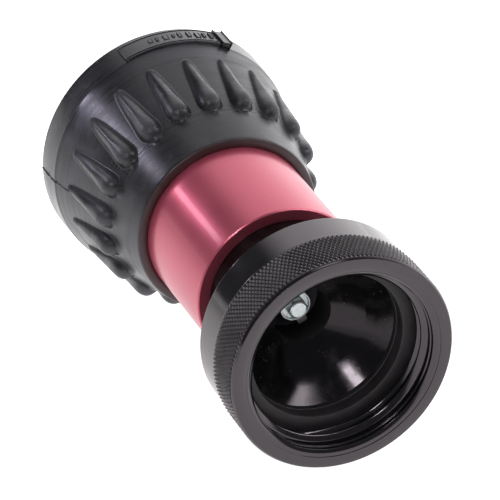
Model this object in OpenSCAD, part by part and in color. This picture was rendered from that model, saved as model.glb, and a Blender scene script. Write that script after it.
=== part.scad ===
// Fire hose nozzle with a swivel inlet coupling and a twist-to-adjust barrel.
// Axes: the water flows along +Y. The inlet face of the coupling is at y = 0.
// All lengths are in millimetres.

/* [Inlet coupling] */
// Minor radius of the female hose thread
thread_minor_r = 23.75; // [23.6:0.05:23.9]
// Major radius of the female hose thread
thread_major_r = 25.3; // [25.2:0.05:25.4]
// Distance between two thread crests
thread_pitch = 2.82; // [2.7:0.01:2.84]
// Number of thread crests inside the coupling
thread_crests = 3; // [2:1:3]
// Outer radius over the knurled grip
knurl_r = 31; // [30.8:0.1:32]
// Outer radius of the plain band in front of the grip
band_r = 30.4; // [29.8:0.1:30.7]
// Length of the coupling along the flow
coupling_len = 24; // [23.5:0.1:24.5]
// Number of balls in the swivel race
ball_count = 30; // [20:1:40]
// Radius of each race ball
ball_r = 1.58; // [1.5:0.01:1.6]

/* [Body] */
// Outer radius of the neck that the barrel slides on
neck_r = 19.94; // [19.9:0.01:19.97]
// Front end of the body along the flow
body_end = 99.5; // [98:0.5:99.5]
// Radius of the bowl's rim behind the gasket
bowl_r = 21.4; // [20.8:0.1:21.4]
// Radius of the throat at the bottom of the bowl
throat_r = 8; // [7:0.5:8]
// Radius of the water passage in the front of the body
bore_r = 14.5; // [13:0.5:15]

/* [Stem and baffle] */
// Radius of the hub that carries the stem
hub_r = 4.3; // [4.2:0.05:4.4]
// Number of arms between the hub and its ring
spider_arms = 3; // [3:1:4]
// Radius of the stem
stem_r = 3.2; // [3:0.1:3.4]
// Radius of the baffle head
baffle_r = 14.5; // [14:0.1:15]

/* [Barrel] */
// Outer radius of the red barrel sleeve
sleeve_r = 23.4; // [23:0.1:23.6]
// Bore radius of the barrel sleeve
sleeve_bore_r = 20; // [20:0.01:20.03]
// Rear end of the barrel sleeve along the flow
sleeve_start = 41.8; // [38:0.2:46]
// Barrel travel for one full turn of the barrel
cam_lead = 30; // [28:1:32]
// Radius of the two cam pins
cam_pin_r = 1.8; // [1.6:0.05:1.85]
// Radius of the orifice in the seat ring
orifice_r = 12; // [11:0.5:12.5]
// Number of teeth in the fog ring
fog_tooth_count = 24; // [18:2:30]

/* [Rubber bumper] */
// Number of finger lugs around the bumper
lug_count = 20; // [16:1:20]
// Outer radius of the front rim band
rim_r = 35.4; // [35:0.1:36]
// Front end of the bumper along the flow
rim_end = 129; // [128.5:0.5:131]
// Radius of a lug at its thick end
lug_r = 3.5; // [3:0.1:3.7]
// Height of the raised pad above the rim band
pad_h = 1.5; // [1:0.1:2]

/* [Hidden] */
$fn = 96;
swivel_bore_r = 24.75;
tail_r = swivel_bore_r - 0.06;
race_y = 20;
race_r = swivel_bore_r - 0.03;
groove_r = ball_r + 0.04;
thread_start = 2.4;
gasket_start = 10;
gasket_end = 16;
tail_start = 16.1;
bowl_depth = 5.4;
throat_y = 36;
plug_angle = -60;
hub_start = 32.8;
bolt_seat_y = 32.2;
hub_end = 42;
cam_y = 82;
cam_back = 8;
cam_forward = 3;
cam_groove_r = 2.05;
cam_depth_r = neck_r - 2.4;
cam_steps = 26;
seat_y = 115;
baffle_y = 118.05;
red = [0.66, 0.16, 0.24];
black_metal = [0.07, 0.07, 0.075];
steel = [0.72, 0.73, 0.75];
rubber_black = [0.06, 0.06, 0.065];
seal_black = [0.05, 0.05, 0.05];
nylon = [0.1, 0.1, 0.11];

// Turns a local +Z axis to the flow direction +Y.
module flow() { rotate([-90, 0, 0]) children(); }

// A solid of revolution about the flow axis, from [radius, y] points.
module lathe(points) { flow() rotate_extrude() polygon(points); }

// A plain round bar about the flow axis.
module bar(r, y0, y1) { flow() translate([0, 0, y0]) cylinder(r = r, h = y1 - y0); }

// Places a radial feature (local +Z outwards) at an angle seen from the inlet side.
module radial(angle, y) { rotate([0, -angle, 0]) translate([0, y, 0]) rotate([0, 90, 0]) children(); }

// A ring of round section about the flow axis.
module torus(r, y, section) { flow() translate([0, 0, y]) rotate_extrude() translate([r, 0]) circle(r = section); }

// One V groove between two thread crests.
module thread_groove(y) {
  lathe([[thread_minor_r - 1, y - 1.16], [thread_minor_r, y - 1.16], [thread_major_r, y - 0.25],
    [thread_major_r, y + 0.25], [thread_minor_r, y + 1.16], [thread_minor_r - 1, y + 1.16]]);
}

module coupling_ring() {
  crest_end = thread_start + 0.5 + (thread_crests - 1) * thread_pitch;
  color(black_metal) difference() {
    lathe([[thread_minor_r, 0], [knurl_r - 0.7, 0], [knurl_r, 0.8], [knurl_r, 13.8], [band_r, 14.1],
      [band_r, coupling_len - 1], [band_r - 1, coupling_len], [thread_minor_r, coupling_len]]);
    // Lead-in bevel and counterbore of the thread mouth.
    lathe([[0, -1], [27.6, -1], [26.6, 0], [25.7, 0.5], [25.7, 2], [thread_minor_r, thread_start],
      [thread_minor_r, crest_end], [thread_major_r, crest_end + 0.9], [thread_major_r, gasket_start], [0, gasket_start]]);
    for (i = [0 : thread_crests - 2]) thread_groove(thread_start + 0.5 + thread_pitch * i + (thread_pitch - 0.5) / 2);
    // Gasket groove and swivel bore.
    bar(25.6, gasket_start, gasket_end);
    bar(swivel_bore_r, gasket_end - 0.5, coupling_len + 1);
    torus(race_r, race_y, groove_r);
    // Hole for loading the race balls.
    radial(plug_angle, race_y) cylinder(r = 2.2, h = 40);
  }
}

module inlet_gasket() {
  color(seal_black) lathe([[21.4, gasket_start], [25.1, gasket_start], [25.6, gasket_start + 0.5],
    [25.6, gasket_end - 0.5], [25.1, gasket_end], [21.1, gasket_end], [21.1, gasket_start + 0.3]]);
}

module race_balls() {
  color(steel) for (i = [0 : ball_count - 1])
    rotate([0, 360 / ball_count * (i + 0.5), 0]) translate([race_r, race_y, 0]) sphere(r = ball_r, $fn = 24);
}

module race_plug() {
  color(steel) radial(plug_angle, race_y) difference() {
    translate([0, 0, race_r + ball_r + 0.1]) cylinder(r = 2.2, h = band_r - 0.4 - race_r - ball_r);
    translate([0, 0, band_r - 1.8]) cylinder(r = 1.15, h = 5, $fn = 6);
  }
}

// Helical track for one cam pin, cut as overlapping round pockets.
module cam_track(start_angle) {
  span = cam_back + cam_forward;
  for (i = [0 : cam_steps]) {
    dy = -cam_back + span * i / cam_steps;
    radial(start_angle - dy / cam_lead * 360, cam_y + dy)
      translate([0, 0, cam_depth_r]) cylinder(r = cam_groove_r, h = 6);
  }
}

module body() {
  bottom_r = bowl_r - bowl_depth;
  color(black_metal) difference() {
    lathe([[0, tail_start], [tail_r - 0.3, tail_start], [tail_r, tail_start + 0.3], [tail_r, 23.2], [tail_r - 0.6, 23.8],
      [neck_r, 23.8], [neck_r, body_end - 1.5], [neck_r - 1, body_end], [0, body_end]]);
    // Bowl: a cone that runs into a round bottom, and the passage behind it.
    lathe([[0, tail_start - 1], [bowl_r + 1, tail_start - 1], [bottom_r, tail_start + bowl_depth], [0, tail_start + bowl_depth]]);
    flow() translate([0, 0, tail_start + bowl_depth - bottom_r]) sphere(r = bottom_r * sqrt(2), $fn = 96);
    bar(throat_r, 20, 44);
    bar(10.4, throat_y, 44);
    lathe([[0, 43.9], [10.4, 43.9], [bore_r, 56], [bore_r, body_end - 3], [bore_r + 2, body_end + 0.1], [0, body_end + 0.1]]);
    // Groove for the hub's snap ring.
    bar(11.1, hub_end + 0.05, hub_end + 1.15);
    torus(race_r, race_y, groove_r);
    // Seal ring grooves.
    for (y = [91.5, 95.7]) difference() {
      bar(neck_r + 1, y - 1.4, y + 1.4);
      bar(neck_r - 1.95, y - 2, y + 2);
    }
    cam_track(0);
    cam_track(180);
  }
}

module spider() {
  color(black_metal) difference() {
    union() {
      bar(hub_r, hub_start, hub_end);
      difference() { bar(10.4, throat_y, hub_end); bar(throat_r, throat_y - 1, hub_end + 1); }
      // Arms, stepped in to clear the throat.
      difference() {
        for (i = [0 : spider_arms - 1]) rotate([0, 64 + 360 / spider_arms * i, 0])
          translate([2.5, hub_start + 0.4, -1.3]) cube([6.6, 8.4, 2.6]);
        difference() { bar(12, hub_start, throat_y); bar(throat_r - 0.05, hub_start - 1, throat_y + 1); }
        difference() { bar(12, hub_start, hub_start + 1.6); bar(6.6, hub_start - 1, hub_start + 2); }
      }
    }
    bar(2.05, hub_start - 1, hub_end + 1);
  }
}

module spider_retainer() {
  color(steel) difference() {
    bar(11.05, hub_end + 0.05, hub_end + 1.1);
    bar(9.4, hub_end - 1, hub_end + 3);
    translate([-1.5, hub_end - 1, 8]) cube([3, 4, 6]);
  }
}

module stem_bolt() {
  color(steel) union() {
    bar(2, bolt_seat_y - 0.5, 56);
    intersection() {
      flow() translate([0, 0, 29.3]) cylinder(r = 2.95, h = bolt_seat_y - 29.3, $fn = 6);
      lathe([[0, 29.3], [2.05, 29.3], [2.35, 29.45], [3, 30.3], [3, bolt_seat_y], [0, bolt_seat_y]]);
    }
  }
}

module bolt_washer() {
  color(steel) lathe([[2.05, bolt_seat_y], [3.7, bolt_seat_y], [3.8, 31.75], [3.95, 31.6], [4.15, 31.6], [4.3, 31.75],
    [4.3, hub_start], [2.05, hub_start]]);
}

module stem() {
  color(steel) difference() {
    lathe([[0, hub_end], [stem_r, hub_end], [stem_r, 111], [2.6, 111.4], [2.6, 117.8], [0, 117.8]]);
    bar(2, hub_end - 1, 57);
    bar(1.6, 105, 119);
  }
}

module baffle_head() {
  color(black_metal) difference() {
    lathe([[0, 111.4], [4.2, 111.4], [10.6, 117.4], [11.2, baffle_y], [baffle_r - 0.3, baffle_y], [baffle_r, baffle_y + 0.5],
      [baffle_r - 0.6, 120.6], [baffle_r - 2, 121.4], [0, 121.4]]);
    bar(2.6, 111, 117.8);
    bar(1.65, 117, 122);
    lathe([[1.5, 119.5], [3.3, 121.4], [3.3, 122], [0, 122], [0, 119.5]]);
    difference() { bar(14, baffle_y - 1, 119.4); bar(11.4, baffle_y - 2, 119.4); }
  }
}

module baffle_seal() {
  color(seal_black) difference() { bar(14, baffle_y, 119.4); bar(11.4, baffle_y - 1, 120); }
}

module baffle_screw() {
  color(steel) difference() {
    lathe([[0, 107], [1.6, 107], [1.6, 119.65], [3.15, 121.3], [0, 121.3]]);
    flow() translate([0, 0, 120.2]) cylinder(r = 1.15, h = 3, $fn = 6);
  }
}

module neck_orings() {
  color(seal_black) for (y = [91.5, 95.7]) torus(neck_r - 0.95, y, 0.98);
}

module guide_ring() {
  color(nylon) difference() {
    bar(sleeve_bore_r + 1.2, 50.05, 53.95);
    bar(neck_r + 0.03, 49, 55);
    translate([-0.5, 49, -26]) cube([1, 6, 10]);
  }
}

module barrel_sleeve() {
  color(red) difference() {
    lathe([[sleeve_bore_r, sleeve_start], [sleeve_r - 0.4, sleeve_start], [sleeve_r, sleeve_start + 0.4], [sleeve_r, 84],
      [28.5, 110], [28.5, 112], [27.4, 112.4], [27.4, 114.6], [28.5, 115], [28.5, 123], [sleeve_bore_r, 123]]);
    bar(sleeve_bore_r, sleeve_start - 1, 124);
    bar(24.5, 108.5, 124);
    bar(26, 118, 124);
    bar(26.9, 121.25, 122.35);
    // Groove for the guide ring.
    bar(sleeve_bore_r + 1.25, 50, 54);
    // Tapped holes for the cam pins.
    for (a = [0, 180]) radial(a, cam_y) cylinder(r = 2.4, h = 40);
  }
}

module cam_pins() {
  color(steel) for (a = [0, 180]) radial(a, cam_y) difference() {
    union() {
      translate([0, 0, sleeve_bore_r + 0.1]) cylinder(r = 2.4, h = sleeve_r - 0.1 - sleeve_bore_r - 0.1);
      translate([0, 0, cam_depth_r + 0.2]) cylinder(r = cam_pin_r, h = 3);
    }
    translate([0, 0, sleeve_r - 1.6]) cylinder(r = 1.2, h = 3, $fn = 6);
  }
}

module seat_ring() {
  color(black_metal) difference() {
    lathe([[sleeve_bore_r, 108.5], [24.5, 108.5], [24.5, 118], [20.5, 118], [16.2, seat_y], [orifice_r, seat_y],
      [orifice_r, 113.6], [sleeve_bore_r, 108.9]]);
    difference() { bar(25, 109.7, 112.1); bar(22.9, 109, 113); }
  }
}

module seat_oring() {
  color(seal_black) torus(23.7, 110.9, 0.76);
}

module fog_teeth() {
  color(nylon) union() {
    difference() { bar(26, 118, 121.2); bar(22.6, 117, 122); }
    for (i = [0 : fog_tooth_count - 1]) rotate([0, 360 / fog_tooth_count * i, 0])
      translate([20, 118, -1]) rotate([-90, 0, 0]) linear_extrude(3.2)
        polygon([[0.6, -1.5], [3.4, -2.4], [3.4, 0.4], [0.6, -0.5]]);
  }
}

module teeth_retainer() {
  color(steel) difference() {
    bar(26.85, 121.25, 122.3);
    bar(24.6, 120, 124);
    translate([-2, 120, 22]) cube([4, 4, 8]);
  }
}

// One finger lug: a tapered bar with a ball end, leaning with the bumper's surface.
module lug() {
  run = 19.2;
  lean = 12.6;
  translate([29.3, 93.8, 0]) rotate([0, 0, -lean]) rotate([-90, 0, 0]) union() {
    sphere(r = lug_r, $fn = 32);
    translate([0, 0, 0.4]) cylinder(r1 = lug_r - 0.12, r2 = 0.6, h = run, $fn = 32);
  }
}

module bumper() {
  color(rubber_black) union() {
    difference() {
      union() {
        lathe([[sleeve_r, 78.1], [25.4, 78.1], [26.1, 78.7], [28.6, 90], [31, 101], [33.3, 111.5], [34.8, 118.1],
          [rim_r, 118.5], [rim_r, rim_end - 1], [rim_r - 1, rim_end], [sleeve_r, rim_end]]);
        // Raised blank pad on the rim band.
        intersection() {
          bar(rim_r + pad_h, 119.7, 126.7);
          rotate([0, -87, 0]) translate([0, 119, -15.2]) cube([60, 9, 30.4]);
        }
        for (i = [0 : lug_count - 1]) rotate([0, -(124 + 360 / lug_count * i), 0]) lug();
      }
      lathe([[0, 77], [sleeve_r, 77], [sleeve_r, 84], [28.5, 110], [28.5, 112], [27.4, 112.4], [27.4, 114.6],
        [28.5, 115], [28.5, 123], [26.4, 123], [26.4, 124.6], [31.4, rim_end + 0.01], [31.4, 140], [0, 140]]);
    }
  }
}

coupling_ring();
inlet_gasket();
race_balls();
race_plug();
body();
spider();
spider_retainer();
stem_bolt();
bolt_washer();
stem();
baffle_head();
baffle_seal();
baffle_screw();
neck_orings();
guide_ring();
barrel_sleeve();
cam_pins();
seat_ring();
seat_oring();
fog_teeth();
teeth_retainer();
bumper();
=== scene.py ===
import math

import bpy
import numpy as np
from mathutils import Matrix, Vector


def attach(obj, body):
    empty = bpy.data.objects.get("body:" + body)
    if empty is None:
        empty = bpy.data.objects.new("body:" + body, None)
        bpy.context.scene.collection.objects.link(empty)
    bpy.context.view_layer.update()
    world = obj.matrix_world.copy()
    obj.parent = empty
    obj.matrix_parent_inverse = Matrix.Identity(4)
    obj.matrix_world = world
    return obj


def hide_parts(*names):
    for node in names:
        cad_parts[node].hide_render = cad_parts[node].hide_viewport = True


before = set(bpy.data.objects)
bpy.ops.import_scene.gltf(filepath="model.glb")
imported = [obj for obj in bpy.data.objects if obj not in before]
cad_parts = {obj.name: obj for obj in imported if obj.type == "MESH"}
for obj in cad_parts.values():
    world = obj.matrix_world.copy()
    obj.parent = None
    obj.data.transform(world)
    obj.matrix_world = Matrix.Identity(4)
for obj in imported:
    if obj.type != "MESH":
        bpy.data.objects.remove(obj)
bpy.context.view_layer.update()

MM = 0.001                # shapes are written in millimetres and built in metres
TAU = 2 * math.pi
DEG = math.pi / 180
SCENE = bpy.context.scene


# ---------------------------------------------------------------- geometry

def fillet(points, steps=4):
    """Closed profile of (radius, y, corner radius) points as a list of (radius, y) with round corners."""
    out = []
    n = len(points)
    for i, (r, y, c) in enumerate(points):
        p = np.array([r, y], float)
        a = np.array(points[i - 1][:2], float) - p
        b = np.array(points[(i + 1) % n][:2], float) - p
        la, lb = np.linalg.norm(a), np.linalg.norm(b)
        if c <= 0 or la == 0 or lb == 0:
            out.append((r, y))
            continue
        a, b = a / la, b / lb
        half = math.acos(max(-1, min(1, float(a @ b)))) / 2
        if half > 1.55 or half < 0.02:   # the sides are in line, so there is no corner to round
            out.append((r, y))
            continue
        d = min(c / math.tan(half), 0.48 * la, 0.48 * lb)
        rad = d * math.tan(half)
        mid = p + (a + b) / np.linalg.norm(a + b) * rad / math.sin(half)
        s, e = p + a * d - mid, p + b * d - mid
        sweep = math.acos(max(-1, min(1, float(s @ e) / rad ** 2)))
        for k in range(steps + 1):
            t = k / steps
            v = (s * math.sin((1 - t) * sweep) + e * math.sin(t * sweep)) / math.sin(sweep)
            out.append(tuple(mid + v))
    return out


def bend(r0, y0, r1, y1, turn, n):
    """Points on a circular arc in the profile plane that turns by the given angle, bulging toward +Y."""
    half = turn / 2 * DEG
    dr, dy = r1 - r0, y1 - y0
    chord = math.hypot(dr, dy)
    rad = chord / 2 / math.sin(half)
    ux, uy = dr / chord, dy / chord
    out = []
    for i in range(n + 1):
        a = -half + 2 * half * i / n
        along = chord / 2 + rad * math.sin(a)
        rise = rad * (math.cos(a) - math.cos(half))
        out.append((r0 + ux * along + uy * rise, y0 + uy * along - ux * rise))
    return out


def mesh_object(name, verts, faces, smooth_angle=35):
    """Object from verts in metres, shaded smooth except at edges sharper than the given angle."""
    me = bpy.data.meshes.new(name)
    me.from_pydata([tuple(v) for v in verts], [], faces)
    me.validate()
    me.shade_smooth()
    me.set_sharp_from_angle(angle=smooth_angle * DEG)
    ob = bpy.data.objects.new(name, me)
    SCENE.collection.objects.link(ob)
    return ob


def ring_grid(name, rows, columns, smooth_angle=35, split=None):
    """Mesh of revolution about Y from a closed profile, whose rows are (radius or radii per column, y).

    split is a range of rows whose quads are cut into triangles, with the diagonals alternating.
    """
    theta = np.arange(columns) * TAU / columns
    c, s = np.cos(theta), np.sin(theta)
    verts = []
    for r, y in rows:
        r = np.broadcast_to(np.asarray(r, float), (columns,))
        y = np.broadcast_to(np.asarray(y, float), (columns,))
        verts.append(np.stack([r * c, y, r * s], 1))
    verts = np.concatenate(verts) * MM
    faces = []
    m = len(rows)
    for i in range(m):
        a, b = i * columns, ((i + 1) % m) * columns
        for j in range(columns):
            k = (j + 1) % columns
            q = (a + j, b + j, b + k, a + k)
            if not (split and split[0] <= i < split[1]):
                faces.append(q)
            elif (i - split[0] + j) % 2 == 0:
                faces += [(q[0], q[1], q[2]), (q[0], q[2], q[3])]
            else:
                faces += [(q[1], q[2], q[3]), (q[1], q[3], q[0])]
    return mesh_object(name, verts, faces, smooth_angle)


def polar(r, y, angle):
    """Point in metres at a radius and y in mm and an angle in radians, 0 at +X and 90 degrees at +Z."""
    return (r * math.cos(angle) * MM, y * MM, r * math.sin(angle) * MM)


# ---------------------------------------------------------------- materials

class Mat:
    """A node material built around one Principled shader."""

    def __init__(self, name, **values):
        self.mat = bpy.data.materials.new(name)
        self.mat.use_nodes = True
        self.nt = self.mat.node_tree
        self.bsdf = self.nt.nodes["Principled BSDF"]
        for k, v in values.items():
            self.bsdf.inputs[k.replace("_", " ")].default_value = v
        self.coord = self.nt.nodes.new("ShaderNodeTexCoord").outputs["Object"]

    def put(self, socket, value):
        if hasattr(value, "is_output"):
            self.nt.links.new(value, socket)
        else:
            socket.default_value = value

    def math(self, op, a, b=0.0, c=0.0, clamp=False):
        n = self.nt.nodes.new("ShaderNodeMath")
        n.operation, n.use_clamp = op, clamp
        for i, v in enumerate((a, b, c)):
            self.put(n.inputs[i], v)
        return n.outputs[0]

    def add(self, a, b, clamp=False):
        return self.math("ADD", a, b, clamp=clamp)

    def times(self, *values):
        out = values[0]
        for v in values[1:]:
            out = self.math("MULTIPLY", out, v)
        return out

    def xyz(self):
        """The three object coordinates, in metres."""
        n = self.nt.nodes.new("ShaderNodeSeparateXYZ")
        self.put(n.inputs[0], self.coord)
        return n.outputs

    def radius(self):
        """Distance from the nozzle's axis, in metres."""
        x, _, z = self.xyz()
        return self.math("SQRT", self.add(self.times(x, x), self.times(z, z)))

    def join(self, x, y, z):
        n = self.nt.nodes.new("ShaderNodeCombineXYZ")
        for i, v in enumerate((x, y, z)):
            self.put(n.inputs[i], v)
        return n.outputs[0]

    def scaled(self, sx, sy, sz, turn=0.0):
        n = self.nt.nodes.new("ShaderNodeMapping")
        self.put(n.inputs["Vector"], self.coord)
        n.inputs["Rotation"].default_value = (0, turn, 0)
        n.inputs["Scale"].default_value = (sx, sy, sz)
        return n.outputs[0]

    def noise(self, vec, detail=3.0, rough=0.55):
        n = self.nt.nodes.new("ShaderNodeTexNoise")
        self.put(n.inputs["Vector"], vec)
        n.inputs["Scale"].default_value = 1.0
        n.inputs["Detail"].default_value = detail
        n.inputs["Roughness"].default_value = rough
        return n.outputs["Fac"]

    def speckle(self, scale, detail, rough=0.55):
        """Noise with no direction."""
        return self.noise(self.scaled(scale, scale, scale), detail, rough)

    def range(self, v, a, b, c, d):
        """v mapped from a..b to c..d, and held at c and d outside."""
        n = self.nt.nodes.new("ShaderNodeMapRange")
        for i, x in enumerate((v, a, b, c, d)):
            self.put(n.inputs[i], x)
        return n.outputs[0]

    def between(self, v, low, high):
        """1 between the two (start, end) steps and 0 outside them."""
        return self.times(self.range(v, *low, 0, 1), self.range(v, *high, 1, 0))

    def mix(self, fac, a, b):
        n = self.nt.nodes.new("ShaderNodeMix")
        n.data_type = "RGBA"
        self.put(n.inputs[0], fac)
        self.put(n.inputs[6], a if hasattr(a, "is_output") else (*a, 1))
        self.put(n.inputs[7], b if hasattr(b, "is_output") else (*b, 1))
        return n.outputs[2]

    def turned(self, fine, slow):
        """Coordinates that change fast across the turning marks and slowly along them."""
        x, y, z = self.xyz()
        along = self.times(self.add(y, self.radius()), fine)
        return self.join(self.times(x, slow), along, self.times(z, slow))

    def rings(self, fine, wander=3.0, detail=2.0):
        """Noise in rings round the axis, like turning marks, wandering a little on the way round."""
        w = self.times(self.add(self.xyz()[1], self.radius()), fine)
        w = self.add(w, self.times(self.noise(self.scaled(50, 20, 50), 1.0), wander))
        n = self.nt.nodes.new("ShaderNodeTexNoise")
        n.noise_dimensions = "1D"
        self.put(n.inputs["W"], w)
        n.inputs["Scale"].default_value = 1.0
        n.inputs["Detail"].default_value = detail
        return n.outputs["Fac"]

    def bump(self, height, distance, strength=1.0, after=None):
        n = self.nt.nodes.new("ShaderNodeBump")
        n.inputs["Strength"].default_value = strength
        n.inputs["Distance"].default_value = distance
        self.put(n.inputs["Height"], height)
        if after is not None:
            self.put(n.inputs["Normal"], after)
        return n.outputs[0]

    def scratches(self, turn, scale, width=0.0025):
        """Thin wavering lines at one slant, 1 on a line and 0 elsewhere."""
        v = self.noise(self.scaled(scale, scale * 0.15, scale * 0.1, turn), 1.0, 0.4)
        line = self.range(self.math("ABSOLUTE", self.math("SUBTRACT", v, 0.5)), 0.0, width, 1.0, 0.0)
        patch = self.range(self.noise(self.scaled(60, 60, 60, turn), 2.0), 0.56, 0.62, 0.0, 1.0)
        return self.times(line, patch)

    def set(self, **links):
        """Sets or links the shader's inputs, and returns the material."""
        for k, v in links.items():
            v = (*v, 1) if isinstance(v, tuple) else v
            self.put(self.bsdf.inputs[k.replace("_", " ")], v)
        return self.mat


# Places on the object where a finish changes, in metres: the start and end of each change.
GRIP_REAR, GRIP_FRONT = (0.0010, 0.0013), (0.0138, 0.0141)   # y of the knurled grip
GRIP_ROOT, GRIP_TIP = (0.0298, 0.0302), (0.0306, 0.0310)     # radii at the knurl's roots and tips
THROAT_WALL, THROAT_START = (0.00795, 0.00825), (0.0266, 0.0269)
SLEEVE_END = (0.04182, 0.0419)                               # y of the sleeve's rear face
RUBBER_END = (0.0784, 0.0788)                                # y of the bumper's rear face
RIM_BAND = (0.1182, 0.1188)                                  # y where the smooth rim band starts
CONE_LINE = (0.0787, 0.1181, 0.0261, 0.0348)                 # y and radius at both ends of the cone


def black_anodised(name, rough=0.17, marks=0.00001, base=0.0055, wear=1.0, ior=1.77, smudge=0.0,
                   knurl_wear=0.0, throat=False):
    """Glossy black anodising with turning marks, scratches, smudges and pale worn knurl tips, and, when
    asked, painted fill light in the throat, where the walls are made paler and rougher.
    """
    m = Mat(name, Metallic=0.0, IOR=ior)
    cloud = m.speckle(90, 4.0)
    scr = m.times(m.add(m.scratches(0.7, 900), m.scratches(2.1, 1300, 0.002), clamp=True), wear)
    r = m.add(m.range(cloud, 0.3, 0.7, rough * 0.8, rough * 1.3), m.times(scr, 0.2))
    col = m.mix(m.range(cloud, 0.3, 0.75, 0, 1), (base * 0.8,) * 3, (base * 1.5, base * 1.4, base * 1.5))
    col = m.mix(m.times(scr, 0.5), col, (0.12, 0.12, 0.125))
    if smudge:
        film = m.range(m.noise(m.scaled(120, 60, 120), 4.0, 0.6), 0.5, 0.72, 0, smudge)
        fleck = m.range(m.speckle(1500, 3.0), 0.62, 0.72, 0, 1)
        fleck = m.times(fleck, m.range(m.speckle(190, 2.0), 0.58, 0.68, 0, 1))
        col = m.mix(film, col, (0.06, 0.056, 0.06))
        col = m.mix(m.times(fleck, 0.7), col, (0.22, 0.21, 0.22))
        r = m.add(r, m.times(film, 0.6))
    y, rad = m.xyz()[1], m.radius()
    if throat:
        # painted fill light: the throat walls are made paler and rougher so that the deep bore reads lighter
        inner = m.times(m.range(rad, *THROAT_WALL, 1, 0), m.range(y, *THROAT_START, 0, 1))
        col = m.mix(inner, col, (0.055, 0.052, 0.055))
        r = m.add(r, m.times(inner, 0.35))
    if knurl_wear:
        grip = m.between(y, GRIP_REAR, GRIP_FRONT)
        r = m.add(r, m.times(grip, m.range(rad, *GRIP_ROOT, 0, 1), 0.14))
        patch = m.range(m.speckle(120, 3.0), 0.35, 0.65, 0.25, 1.0)
        tip = m.times(grip, m.range(rad, *GRIP_TIP, 0, 1), patch, knurl_wear)
        col = m.mix(tip, col, (0.30, 0.29, 0.30))
        r = m.add(r, m.times(tip, 0.3))
    nrm = m.bump(m.rings(2600), marks, 0.6)
    nrm = m.bump(m.speckle(4200, 2.0), 0.000004, 0.5, nrm)
    return m.set(Base_Color=col, Roughness=r, Normal=nrm, Specular_Tint=(1.0, 0.885, 0.97))


def red_anodised():
    """Satin red anodising, dark on the rear face that the light doesn't reach."""
    m = Mat("barrel_red_anodised", Metallic=0.5, IOR=1.45, Coat_Weight=0.3, Coat_Roughness=0.1, Coat_IOR=1.45)
    m.set(Specular_IOR_Level=0.15)
    cloud = m.speckle(60, 3.0)
    speck = m.range(m.speckle(5200, 1.0), 0.62, 0.75, 0, 1)
    col = m.mix(m.range(cloud, 0.3, 0.7, 0, 1), (0.56, 0.104, 0.160), (0.61, 0.117, 0.178))
    col = m.mix(m.times(speck, 0.12), col, (0.9, 0.3, 0.36))
    face = m.range(m.xyz()[1], *SLEEVE_END, 1, 0)
    col = m.mix(m.times(face, 0.85), col, (0.17, 0.028, 0.042))
    r = m.add(m.range(cloud, 0.3, 0.7, 0.30, 0.36), m.times(m.rings(3000), 0.01))
    r = m.add(r, m.times(face, 0.25))
    return m.set(Base_Color=col, Roughness=r, Normal=m.bump(m.speckle(6500, 2.0), 0.000004, 0.7))


def moulded_rubber():
    """Black rubber with moulding rings, handling smears, dust, duller worn tops on the lugs, and painted
    shade in the crease round each lug.
    """
    m = Mat("bumper_rubber", Metallic=0.0, IOR=1.58)
    y = m.xyz()[1]
    streak = m.rings(1300, 12.0)
    band = m.rings(160, 4.0)
    cloud = m.noise(m.scaled(110, 70, 110), 4.0)
    dust = m.range(m.speckle(240, 5.0, 0.7), 0.58, 0.75, 0, 1)
    smear = m.noise(m.scaled(55, 75, 55, 0.4), 5.0, 0.62)
    rear = m.range(y, *RUBBER_END, 1, 0)
    col = m.mix(m.range(cloud, 0.3, 0.7, 0, 1), (0.011, 0.0105, 0.0118), (0.020, 0.0195, 0.021))
    col = m.mix(m.times(m.range(streak, 0.5, 0.75, 0, 1), 0.25), col, (0.045, 0.044, 0.047))
    col = m.mix(m.times(dust, 0.22), col, (0.085, 0.08, 0.078))
    col = m.mix(m.times(rear, 0.9), col, (0.045, 0.018, 0.016))
    col = m.mix(m.range(smear, 0.55, 0.72, 0, 0.4), col, (0.062, 0.066, 0.084))
    r = m.add(m.range(band, 0.3, 0.7, 0.24, 0.33), m.range(streak, 0.3, 0.7, -0.05, 0.08))
    r = m.add(r, m.range(smear, 0.3, 0.7, -0.04, 0.10))
    r = m.math("SUBTRACT", r, m.range(y, *RIM_BAND, 0, 0.07))
    high = m.math("SUBTRACT", m.radius(), m.range(y, *CONE_LINE))   # height above the cone
    worn = m.times(m.range(high, 0.0010, 0.0026, 0, 1), m.range(y, 0.117, 0.118, 1, 0))
    worn = m.times(worn, m.range(m.speckle(420, 4.0), 0.3, 0.6, 0.45, 1.0))
    worn = m.times(worn, m.range(y, 0.094, 0.101, 0.8, 0.1))
    col = m.mix(m.times(worn, 0.7), col, (0.068, 0.065, 0.067))
    r = m.add(r, m.times(worn, 0.22))
    r = m.add(r, m.times(m.add(dust, rear), 0.12))
    crease_shade = m.between(high, (0.00005, 0.00012), (0.0006, 0.0012))    # painted shade in the crease round each lug, which is also made rougher
    crease_shade = m.times(crease_shade, m.between(y, (0.0900, 0.0904), (0.112, 0.113)))
    # painted shade: the crease round each lug is darkened
    col = m.mix(m.times(crease_shade, 0.8), col, (0.007, 0.0068, 0.007))
    r = m.add(r, m.times(crease_shade, 0.35))
    nrm = m.bump(streak, 0.000015, 0.7)
    nrm = m.bump(m.speckle(2600, 3.0), 0.000012, 0.6, nrm)
    nrm = m.bump(cloud, 0.00015, 0.5, nrm)
    return m.set(Base_Color=col, Roughness=r, Normal=nrm, Specular_Tint=(0.92, 0.90, 1.0))


def soft_seal():
    m = Mat("seal_rubber", Metallic=0.0, IOR=1.5)
    cloud = m.speckle(160, 4.0)
    col = m.mix(m.range(cloud, 0.3, 0.7, 0, 1), (0.019, 0.016, 0.018), (0.034, 0.029, 0.033))
    nrm = m.bump(m.noise(m.turned(2200, 30), 3.0), 0.00003, 0.8)
    return m.set(Base_Color=col, Roughness=m.range(cloud, 0.3, 0.7, 0.5, 0.62), Normal=nrm)


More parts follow.
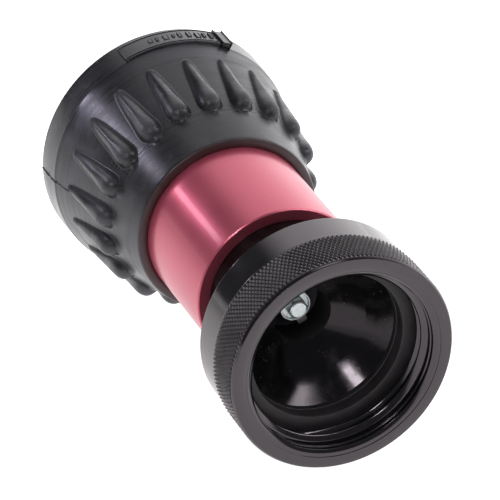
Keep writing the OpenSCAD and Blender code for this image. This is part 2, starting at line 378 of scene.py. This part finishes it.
def cast_grey():
    m = Mat("spider_cast", Metallic=0.0, IOR=1.5)
    cloud = m.speckle(260, 4.0)
    col = m.mix(m.range(cloud, 0.3, 0.7, 0, 1), (0.30, 0.27, 0.30), (0.42, 0.38, 0.42))
    nrm = m.bump(m.speckle(2400, 3.0), 0.00002, 0.7)
    return m.set(Base_Color=col, Roughness=m.range(cloud, 0.3, 0.7, 0.45, 0.6), Normal=nrm)


def zinc_plate():
    m = Mat("zinc_plate", Metallic=0.62, IOR=1.6)
    cloud = m.speckle(420, 4.0)
    streak = m.noise(m.turned(3000, 700), 3.0)
    col = m.mix(m.range(cloud, 0.35, 0.7, 0, 1), (0.78, 0.84, 0.85), (0.90, 0.96, 0.97))
    col = m.mix(m.range(streak, 0.55, 0.75, 0, 0.35), col, (0.42, 0.44, 0.42))
    nrm = m.bump(streak, 0.00002, 0.7)
    return m.set(Base_Color=col, Roughness=m.range(cloud, 0.3, 0.7, 0.16, 0.3), Normal=nrm)


def bare_steel():
    m = Mat("stainless", Metallic=1.0)
    cloud = m.speckle(300, 4.0)
    col = m.mix(m.range(cloud, 0.35, 0.7, 0, 1), (0.434, 0.434, 0.441), (0.62, 0.62, 0.63))
    nrm = m.bump(m.noise(m.turned(5200, 60), 2.0), 0.00001, 0.7)
    return m.set(Base_Color=col, Roughness=m.range(cloud, 0.3, 0.7, 0.168, 0.336), Normal=nrm)


def nylon():
    m = Mat("nylon", Metallic=0.0, IOR=1.53)
    cloud = m.speckle(200, 4.0)
    col = m.mix(m.range(cloud, 0.3, 0.7, 0, 1), (0.018, 0.018, 0.019), (0.032, 0.032, 0.034))
    nrm = m.bump(m.speckle(3000, 2.0), 0.00001, 0.6)
    return m.set(Base_Color=col, Roughness=m.range(cloud, 0.3, 0.7, 0.32, 0.48), Normal=nrm)


COUPLING_BLACK = black_anodised("coupling_black", 0.13, 0.000005, knurl_wear=0.85)
BODY_BLACK = black_anodised("body_black", 0.13, 0.000002, 0.005, 0.5, 1.45, 0.3, throat=True)
DULL_BLACK = black_anodised("inner_black", 0.24, 0.00001, 0.006, 0.4)
RED = red_anodised()
RUBBER = moulded_rubber()
SEAL = soft_seal()
STAINLESS = bare_steel()
ZINC = zinc_plate()
SPIDER_GREY = cast_grey()
NYLON = nylon()


def finish_piece(ob, mat, body, slot, *nodes):
    """Gives a new piece its material and its body, and hides the CAD nodes that it stands for. The slot
    argument is not used.
    """
    ob.data.materials.clear()
    ob.data.materials.append(mat)
    if nodes:
        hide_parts(*nodes)
    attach(ob, body)


# ---------------------------------------------------------------- swivel coupling

KNURL_STARTS = 155
KNURL_ROOT, KNURL_TIP = 30.42, 31.0
KNURL_Y0, KNURL_STEP, KNURL_ROWS = 1.35, 1.02, 12
BAND_R = 30.4


def coupling():
    """Coupling ring: bevelled face, diamond knurl, plain band, ball race and plain bore."""
    cols = 2 * KNURL_STARTS
    rows = fillet([(26.75, 0, 0.12), (30.45, 0, 0.04), (30.95, 0.8, 0.03), (KNURL_ROOT, 1.1, 0)], 3)
    head = len(rows)
    even = np.arange(cols) % 2 == 0
    for i in range(KNURL_ROWS + 1):
        low = even if i % 2 == 0 else ~even
        tip = KNURL_TIP if 0 < i < KNURL_ROWS else KNURL_ROOT + 0.12
        rows.append((np.where(low, KNURL_ROOT, tip), KNURL_Y0 + KNURL_STEP * i))
    y1 = KNURL_Y0 + KNURL_STEP * KNURL_ROWS
    rows += fillet([
        (KNURL_ROOT - 0.02, y1 + 0.15, 0), (BAND_R, y1 + 0.4, 0), (BAND_R, 22.55, 0), (BAND_R, 22.9, 0.25),
        (29.4, 24, 0.15), (25.1, 24, 0.1), (24.75, 23.6, 0.1), (24.75, 21.55, 0), (26.2, 20.8, 0),
        (26.2, 19.2, 0), (24.75, 18.45, 0), (24.75, 16.05, 0.05), (25.6, 16.0, 0.05), (25.6, 9.95, 0.05),
        (25.3, 9.9, 0),
        (25.3, 2.3, 0.05), (25.62, 2.05, 0.1), (25.62, 1.0, 0.12), (26.55, 0.42, 0.06)], 3)
    return ring_grid("coupling", rows, cols, smooth_angle=32, split=(head, head + KNURL_ROWS))


THREAD_ROOT, THREAD_CREST, THREAD_PITCH = 25.3, 23.75, 2.82
THREAD_Y0, THREAD_Y1, THREAD_PHASE = 3.1, 8.7, -140
THREAD_BASE, THREAD_FADE = 2.5, 50     # width of the ridge, and degrees over which each end fades out
THREAD_ACROSS, THREAD_STEPS = 12, 160  # points across the ridge, and sections for each turn


def thread_ridge():
    """Helical ridge of rounded section inside the bore, fading out at both ends."""
    turns = (THREAD_Y1 - THREAD_Y0) / THREAD_PITCH
    n = int(turns * THREAD_STEPS)
    verts, faces = [], []
    for i in range(n + 1):
        t = i / n * turns * 360
        f = min(1, t / THREAD_FADE, (turns * 360 - t) / THREAD_FADE)
        f = max(0.02, f * f * (3 - 2 * f))
        y = THREAD_Y0 + THREAD_PITCH * t / 360
        a = (THREAD_PHASE - t) * DEG
        section = [(THREAD_ROOT + 0.15, -THREAD_BASE / 2)]
        for k in range(THREAD_ACROSS + 1):
            u = 2 * k / THREAD_ACROSS - 1
            rise = f * max(0.0, math.cos(u * math.pi / 2)) ** 1.1
            section.append((THREAD_ROOT + (THREAD_CREST - THREAD_ROOT) * rise, u * THREAD_BASE / 2))
        section.append((THREAD_ROOT + 0.15, THREAD_BASE / 2))
        verts += [polar(r, y + dy, a) for r, dy in section]
    m = THREAD_ACROSS + 3
    for i in range(n):
        for k in range(m):
            q = (k + 1) % m
            faces.append((i * m + k, i * m + q, i * m + m + q, i * m + m + k))
    faces += [tuple(range(m)), tuple(n * m + k for k in reversed(range(m)))]
    return mesh_object("hose_thread", verts, faces, 50)


def gasket():
    """Flat rubber ring with a shallow groove round its bore."""
    pts = [(21.1, 10.0, 0.35), (25.55, 10.0, 0.4), (25.55, 16.0, 0.3), (21.1, 16.0, 0.3),
           (21.1, 14.2, 0.1), (21.32, 14.05, 0.1), (21.32, 13.2, 0.1), (21.1, 13.05, 0.1)]
    return ring_grid("gasket", fillet(pts, 4), 192, smooth_angle=35)


finish_piece(coupling(), COUPLING_BLACK, "coupling", "anodised_black", "coupling_ring")
finish_piece(thread_ridge(), COUPLING_BLACK, "coupling", "anodised_black", "coupling_ring")
finish_piece(gasket(), SEAL, "coupling", "gasket_rubber", "inlet_gasket")


# ---------------------------------------------------------------- body, and the CAD nodes that stay

NECK_R, BODY_REAR_R, GROOVE_R, THROAT_R = 19.94, 24.69, 18.05, 8.0


def body_piece():
    """Body shell: ball race at the rear, neck with two seal grooves, water passage, throat and bowl."""
    bowl = [(21.4, 16.1), (19.6, 17.9), (17.8, 19.7)] + bend(16.0, 21.5, THROAT_R, 26.665, 14, 20)
    pts = [(BODY_REAR_R, 16.1, 0.3), (BODY_REAR_R, 18.4, 0), (23.1, 19.2, 0), (23.1, 20.8, 0),
           (BODY_REAR_R, 21.6, 0), (BODY_REAR_R, 23.3, 0.1), (24.1, 23.8, 0.15), (20.5, 23.8, 0.1),
           (NECK_R, 24.6, 0.5)]
    for y0, y1 in ((90.1, 92.9), (94.3, 97.1)):
        pts += [(NECK_R, y0, 0.1), (GROOVE_R, y0, 0.1), (GROOVE_R, y1, 0.1), (NECK_R, y1, 0.1)]
    pts += [(NECK_R, 98.4, 0.1), (18.6, 99.5, 0.2), (16.3, 99.5, 0.1), (14.5, 96.6, 0.2), (14.5, 56, 1),
            (11.1, 43.15, 0), (11.1, 42.05, 0), (10.4, 42.05, 0), (10.4, 36, 0.05), (THROAT_R, 36, 0.1)]
    pts += [(r, y, 0.15 if r == THROAT_R else 0) for r, y in reversed(bowl)]
    return ring_grid("body_shell", fillet(pts, 4), 256, smooth_angle=28)


finish_piece(body_piece(), BODY_BLACK, "body", "anodised_black", "body")


def soften_edges(ob, width, segments):
    b = ob.modifiers.new("edges", "BEVEL")
    b.width, b.segments, b.limit_method, b.angle_limit = width * MM, segments, "ANGLE", 40 * DEG


def carry(node, mat, bevel=0.0):
    """Gives a CAD node its finish, and slightly broken edges."""
    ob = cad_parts[node]
    ob.data.materials.clear()
    ob.data.materials.append(mat)
    if bevel:
        soften_edges(ob, bevel, 2)


carry("spider", SPIDER_GREY, 0.12)
carry("stem_bolt", ZINC, 0.1)
carry("bolt_washer", ZINC, 0.08)
carry("stem", STAINLESS)
carry("spider_retainer", STAINLESS, 0.06)
carry("race_balls", STAINLESS)
carry("race_plug", STAINLESS, 0.08)
carry("baffle_head", DULL_BLACK)
carry("baffle_seal", SEAL)
carry("baffle_screw", STAINLESS, 0.05)
carry("neck_orings", SEAL)
carry("guide_ring", NYLON)
carry("cam_pins", STAINLESS)
carry("seat_ring", DULL_BLACK)
carry("seat_oring", SEAL)
carry("fog_teeth", NYLON, 0.12)
carry("teeth_retainer", STAINLESS, 0.06)


# ---------------------------------------------------------------- barrel

BORE_R, FLARE_R = 20.0, 28.5


def sleeve_piece():
    """Barrel sleeve: straight tube, flare under the bumper, snap groove, mouth and guide pocket."""
    pts = [(BORE_R, 41.8, 0.12), (23.0, 41.8, 0.08), (23.4, 42.2, 0.06), (23.4, 84, 2), (FLARE_R, 110, 0.2),
           (FLARE_R, 112, 0.1), (27.4, 112.4, 0.1), (27.4, 114.6, 0.1), (FLARE_R, 115, 0.1),
           (FLARE_R, 123, 0.2),
           (26.0, 123, 0.2), (26.0, 122.35, 0), (26.9, 122.35, 0), (26.9, 121.25, 0), (26.0, 121.25, 0),
           (26.0, 118, 0.05), (24.5, 118, 0.05), (24.5, 108.5, 0.05), (BORE_R, 108.5, 0.2),
           (BORE_R, 54, 0), (21.25, 54, 0), (21.25, 50, 0), (BORE_R, 50, 0)]
    return ring_grid("barrel", fillet(pts, 4), 320, smooth_angle=30)


finish_piece(sleeve_piece(), RED, "barrel", "anodised_red", "barrel_sleeve")


# ---------------------------------------------------------------- rubber bumper

LUGS, LUG_PHASE = 20, 124.0
LUG_FOOT, LUG_HEAD, LUG_TIP = 90.4, 94.2, 113.1
LUG_SWELL = 1.04
BUMPER_COLUMNS = 1200

# Tables of (y, value): the cone's radius, half a lug's width, and the radius along a lug's crest.
CONE = [(78.7, 26.1), (90, 28.6), (101, 31.0), (111.5, 33.3), (118.1, 34.8)]
LUG_WIDTH = [(91, 3.0), (94, 3.0), (96.5, 2.85), (99, 2.6), (102, 2.35), (105, 2.08), (108, 1.74),
             (110, 1.45), (111.4, 1.15), (112.3, 0.85), (112.8, 0.6), (113.1, 0.05), (114, 0.05)]
LUG_CREST = [(89, 32.5), (93, 32.62), (96, 32.9), (100, 33.2), (106, 33.7), (110, 33.98), (111.6, 34.0),
             (112.5, 33.85), (113.1, 33.65), (114, 33.6)]


def table(pairs, y):
    return np.interp(y, [p[0] for p in pairs], [p[1] for p in pairs])


def lug_radius(theta, y):
    """Outer radius over the finger lugs at angle theta (degrees) and y (mm), arrays."""
    base = table(CONE, y)
    pitch = 360 / LUGS
    off = (theta - LUG_PHASE + pitch / 2) % pitch - pitch / 2
    x = np.abs(base * np.sin(off * DEG))
    end = np.clip((LUG_HEAD - y) / (LUG_HEAD - LUG_FOOT), 0, 1)   # 0 along the lug, 1 at its round end
    width = LUG_SWELL * table(LUG_WIDTH, y) * np.clip(1 - end ** 2.4, 0, 1) ** 0.45
    height = (table(LUG_CREST, y) - base) * np.clip(1 - end ** 2.2, 0, 1) ** 0.5
    u = np.clip(x / np.maximum(width, 1e-3), 0, 1)
    ridge = np.clip((y - 95.5) / 5, 0, 1)                         # 0 on the round end, 1 on the sharper tip
    dome = np.clip(1 - u ** (2.2 - 0.7 * ridge), 0, 1) ** (0.55 + 0.15 * ridge) * height
    return base + np.where((y > LUG_FOOT) & (y < LUG_TIP), dome, 0)


def bumper_piece():
    """Bumper skin: rear edge, lugged cone, rim band, mouth and the bore that grips the barrel."""
    theta = np.arange(BUMPER_COLUMNS) * 360 / BUMPER_COLUMNS
    rows = [(23.55, 78.12), (24.4, 78.1), (25.3, 78.12), (25.8, 78.32), (26.05, 78.62)]
    ys = np.concatenate([np.linspace(79, 90.6, 13), np.linspace(90.8, 97, 48), np.linspace(97.3, 110, 44),
                         np.linspace(110.2, 113.4, 17), np.linspace(114, 118, 6)])
    cone = np.array([lug_radius(theta, np.full(BUMPER_COLUMNS, y)) for y in ys])
    soft = sum(k * np.roll(cone, i, axis=1) for i, k in zip(range(-3, 4), (1, 2, 3, 4, 3, 2, 1))) / 16
    soft[1:-1] = (soft[:-2] + 2 * soft[1:-1] + soft[2:]) / 4
    rows += list(zip(soft, ys))
    rows += fillet([(34.95, 118.7, 0), (35.2, 119.3, 0.25), (35.45, 128.3, 0.5), (34.9, 128.95, 0.4),
                    (31.6, 129.0, 0.3), (30.2, 127.6, 0.3), (26.5, 124.7, 0.3), (26.4, 123.02, 0.05),
                    (28.45, 123.0, 0), (28.5, 115, 0.1), (27.45, 114.6, 0), (27.45, 112.4, 0),
                    (28.5, 112, 0.1), (28.5, 110, 0), (23.45, 84, 1), (23.45, 78.3, 0)], 3)
    return ring_grid("bumper_skin", rows, BUMPER_COLUMNS, smooth_angle=85)


finish_piece(bumper_piece(), RUBBER, "barrel", "bumper_rubber", "bumper")


def tube_faces(sections, flip):
    """Faces round a four-sided tube, section by section, and its two ends."""
    faces = []
    for i in range(sections - 1):
        for k in range(4):
            q = (k + 1) % 4
            a, b, c, d = i * 4 + k, i * 4 + q, i * 4 + 4 + q, i * 4 + 4 + k
            faces.append((a, d, c, b) if flip else (a, b, c, d))
    return faces + [(3, 2, 1, 0), tuple((sections - 1) * 4 + k for k in range(4))]


def curved_block(name, angles, ys, radii, columns, edge):
    """A block wrapped round the axis with softened edges. radii is the base, then the top at both ends."""
    verts = []
    base, top0, top1 = radii
    for i in range(columns + 1):
        t = i / columns
        a = (angles[0] + (angles[1] - angles[0]) * t) * DEG
        top = top0 + (top1 - top0) * t
        verts += [polar(r, y, a) for r, y in ((base, ys[0]), (top, ys[0]), (top, ys[1]), (base, ys[1]))]
    ob = mesh_object(name, verts, tube_faces(columns + 1, flip=True), 40)
    soften_edges(ob, edge, 3)
    return ob


PAD_MARKS, PAD_MARK_START = 9, 68.5


def pad_pieces():
    """Raised pad on the rim with its frame, end tab and a row of plain blocks."""
    out = [curved_block("pad", (61.5, 112), (119.2, 126.9), (34.6, 36.15, 35.75), 30, 0.3),
           curved_block("pad_rib_rear", (63.5, 111), (119.9, 120.25), (35.4, 36.3, 35.95), 28, 0.12),
           curved_block("pad_rib_front", (63.5, 111), (126.0, 126.35), (35.4, 36.3, 35.95), 28, 0.12),
           curved_block("pad_tab", (61.2, 65.6), (119.0, 127.0), (35.2, 36.9, 36.5), 6, 0.35)]
    rng = np.random.default_rng(3)
    a = PAD_MARK_START
    for i in range(PAD_MARKS):
        wide = rng.uniform(0.9, 2.3)
        ys = rng.uniform(121.2, 122.4), rng.uniform(123.6, 124.9)
        top = 36.32 - 0.035 * i
        out.append(curved_block("pad_mark_%d" % i, (a, a + wide), ys, (35.3, top, top), 3, 0.14))
        a += wide + rng.uniform(1.5, 3.0)
    return out


for pad in pad_pieces():
    finish_piece(pad, RUBBER, "barrel", "bumper_rubber")


def parting_line(name, angle):
    """Thin ragged moulding flash from the rim to the first lug."""
    rng = np.random.default_rng(7)
    verts, sections = [], 0
    for y in np.arange(112.4, 128.9, 0.5):
        r = table(CONE, y) if y < 118.1 else 35.3 + 0.15 * (y - 118.4) / 10
        a, high = angle + rng.normal(0, 0.12), 0.1 + 0.16 * abs(rng.normal())
        for dr, da in ((-0.1, -0.3), (high, -0.04), (high, 0.04), (-0.1, 0.3)):
            verts.append(polar(r + dr, y, (a + da) * DEG))
        sections += 1
    return mesh_object(name, verts, tube_faces(sections, flip=False), 60)


finish_piece(parting_line("mould_line_left", 180.4), RUBBER, "barrel", "bumper_rubber")
finish_piece(parting_line("mould_line_right", 0.4), RUBBER, "barrel", "bumper_rubber")


# ---------------------------------------------------------------- floor, light and camera

FLOOR_Z = -35.95 * MM
FLOOR_Y = 0.06
FLOOR_R, FLOOR_SIDES = 14, 96
FLOOR_GLOW = 0.88


def floor():
    """Pale round floor, lit a little from within so that it reads as a white sweep; this glow is painted
    light, stronger to the right and behind and weaker in a band to the left and toward the front left.
    """
    verts, faces = [(0, 0, 0)], []
    for j in range(FLOOR_SIDES):
        a = j * TAU / FLOOR_SIDES
        verts.append((FLOOR_R * math.cos(a), FLOOR_R * math.sin(a), 0))
        faces.append((0, 1 + j, 1 + (j + 1) % FLOOR_SIDES))
    ob = mesh_object("floor", verts, faces)
    ob.location = (0, FLOOR_Y, FLOOR_Z)
    m = Mat("floor_pale", Metallic=0.0, Roughness=0.9, IOR=1.3)
    m.set(Specular_IOR_Level=0.1)
    x, y, _ = m.xyz()
    # painted light: the floor's glow, stronger to the right and behind, weaker to the left and toward the
    # front left
    right = m.range(x, 0.0, 0.2, 0.0, 0.16)
    behind = m.times(m.range(y, -0.10, 0.14, 0.0, 0.5), m.range(x, -0.14, -0.04, 0.3, 1.0))
    glow = m.add(m.add(right, behind), FLOOR_GLOW)
    left = m.math("MAXIMUM", m.range(x, -0.45, -0.14, 0.4, 1.0), m.range(x, -1.6, -0.5, 1.0, 0.4))
    front = m.math("MAXIMUM", m.range(y, -0.9, -0.2, 0.6, 1.0), m.range(x, 0.1, 0.25, 0.0, 1.0))
    m.set(Emission_Color=(1.0, 0.995, 0.99), Emission_Strength=m.times(glow, left, front))
    m.set(Base_Color=m.mix(m.speckle(0.8, 2.0), (0.40, 0.40, 0.40), (0.43, 0.43, 0.43)))
    ob.data.materials.append(m.mat)


floor()


class Sky:
    """World light painted by direction, as a sum of masked colours."""

    def __init__(self):
        w = bpy.data.worlds.new("studio")
        SCENE.world = w
        w.use_nodes = True
        self.nt = w.node_tree
        self.nt.nodes.clear()
        self.out = self.nt.nodes.new("ShaderNodeOutputWorld")
        self.coord = self.nt.nodes.new("ShaderNodeTexCoord").outputs["Generated"]
        self.total = None

    def dot(self, v):
        """How far a direction points along v."""
        n = self.nt.nodes.new("ShaderNodeVectorMath")
        n.operation = "DOT_PRODUCT"
        self.nt.links.new(self.coord, n.inputs[0])
        n.inputs[1].default_value = v
        return n.outputs["Value"]

    def op(self, kind, a, b=0.0):
        n = self.nt.nodes.new("ShaderNodeMath")
        n.operation = kind
        for i, v in enumerate((a, b)):
            if hasattr(v, "is_output"):
                self.nt.links.new(v, n.inputs[i])
            else:
                n.inputs[i].default_value = v
        return n.outputs[0]

    def ramp(self, v, a, b, c=0.0, d=1.0):
        """v mapped smoothly from a..b to c..d, and held at c and d outside."""
        n = self.nt.nodes.new("ShaderNodeMapRange")
        n.interpolation_type = "SMOOTHSTEP"
        self.nt.links.new(v, n.inputs[0])
        for i, x in enumerate((a, b, c, d)):
            n.inputs[i + 1].default_value = x
        return n.outputs[0]

    def add(self, mask, colour):
        """Adds light of one colour where the mask is above zero."""
        bg = self.nt.nodes.new("ShaderNodeBackground")
        bg.inputs["Color"].default_value = (*colour, 1)
        if hasattr(mask, "is_output"):
            self.nt.links.new(mask, bg.inputs["Strength"])
        else:
            bg.inputs["Strength"].default_value = mask
        if self.total is None:
            self.total = bg.outputs[0]
        else:
            n = self.nt.nodes.new("ShaderNodeAddShader")
            self.nt.links.new(self.total, n.inputs[0])
            self.nt.links.new(bg.outputs[0], n.inputs[1])
            self.total = n.outputs[0]

    def softbox(self, centre, across, half_across, half_up, strength, soft=0.25):
        """A rectangle of light round the centre direction, its half sizes in degrees."""
        c = Vector(centre).normalized()
        t = Vector(across)
        t = (t - c * t.dot(c)).normalized()
        toward = self.dot(c)
        mask = self.ramp(toward, 0.3, 0.5)
        for axis, half in ((t, half_across), (c.cross(t), half_up)):
            k = math.tan(half * DEG)
            slope = self.op("ABSOLUTE", self.op("DIVIDE", self.dot(axis), toward))
            mask = self.op("MULTIPLY", mask, self.ramp(slope, k * (1 + soft), k * (1 - soft)))
        self.add(self.op("MULTIPLY", mask, strength), (1, 1, 1))


SWEEP_TOWARD = (0.739, 0.195, 0.645)   # middle of the bright sweep, behind and to the right
ROOM_GLOW, ROOM_COLOUR = 0.10, (0.95, 0.97, 1.05)
HORIZON_GLOW = 0.9


def studio():
    """A bright sweep that dims toward the top, a dim room, a lit horizon and three softboxes."""
    sky = Sky()
    up = sky.dot((0, 0, 1))
    sweep = sky.ramp(sky.dot(SWEEP_TOWARD), 0.28, 0.62)
    sweep = sky.op("MULTIPLY", sweep, sky.ramp(sky.dot((0, 1, 0)), -0.1, 0.35))
    height = sky.op("MAXIMUM", sky.op("SUBTRACT", up, 0.2), 0.0)
    sweep = sky.op("MULTIPLY", sweep, sky.op("SUBTRACT", 2.0, sky.op("MULTIPLY", 1.8, height)))
    sky.add(sky.op("MULTIPLY", sweep, sky.ramp(up, 0.0, 0.02)), (1.0, 0.995, 0.99))
    sky.add(ROOM_GLOW, ROOM_COLOUR)
    sky.add(sky.ramp(up, 0.05, 0.02, 0.0, HORIZON_GLOW), (1, 1, 1))
    sky.softbox((0.13, -0.12, 0.98), (1, 0, 0), 11, 5, 1.8, soft=0.5)
    sky.softbox((0.70, -0.365, 0.61), (0.68, 0.33, -0.53), 23, 2.8, 11.5, soft=0.6)
    sky.softbox((-0.44, -0.60, 0.665), (0.8, 0, 0.6), 5.5, 3.6, 26.0)
    sky.nt.links.new(sky.total, sky.out.inputs[0])


studio()


def place(data, right, up, back, centre):
    """Links a lamp or camera that looks against back."""
    ob = bpy.data.objects.new(data.name, data)
    SCENE.collection.objects.link(ob)
    m = Matrix((right, up, back)).transposed().to_4x4()
    m.translation = centre
    ob.matrix_world = m
    return ob


LAMP_AT, LAMP_TOWARD = Vector((-0.0572, 0.125, 0.0447)), Vector((0, 0.105, 0))
LAMP_LENGTH, LAMP_WIDTH, LAMP_RADIANCE = 0.040, 0.009, 9.0


def strip_lamp():
    """A narrow lamp beside the bumper, lying along Y."""
    data = bpy.data.lights.new("strip_lamp", "AREA")
    data.shape = "RECTANGLE"
    data.size, data.size_y = LAMP_WIDTH, LAMP_LENGTH
    data.energy = LAMP_RADIANCE * math.pi * LAMP_WIDTH * LAMP_LENGTH
    data.color = (0.90, 0.86, 1.0)
    z = (LAMP_AT - LAMP_TOWARD).normalized()
    y = Vector((0, 1, 0))
    y = (y - z * y.dot(z)).normalized()
    place(data, y.cross(z), y, z, LAMP_AT).visible_camera = False


SENSOR, LENS = 36, 288                                       # mm
CAMERA_AT = Vector((-0.354511, -0.796484, 0.536676))
CAMERA_BACK = Vector((-0.330334, -0.800690, 0.499775))       # from the object toward the camera


def camera():
    data = bpy.data.cameras.new("camera")
    data.sensor_width, data.lens = SENSOR, LENS
    data.clip_start, data.clip_end = 0.05, 60
    back = CAMERA_BACK.normalized()
    right = Vector((0, 0, 1)).cross(back).normalized()
    SCENE.camera = place(data, right, back.cross(right), back, CAMERA_AT)


strip_lamp()
camera()
SCENE.view_settings.view_transform = "Standard"
SCENE.view_settings.look = "None"
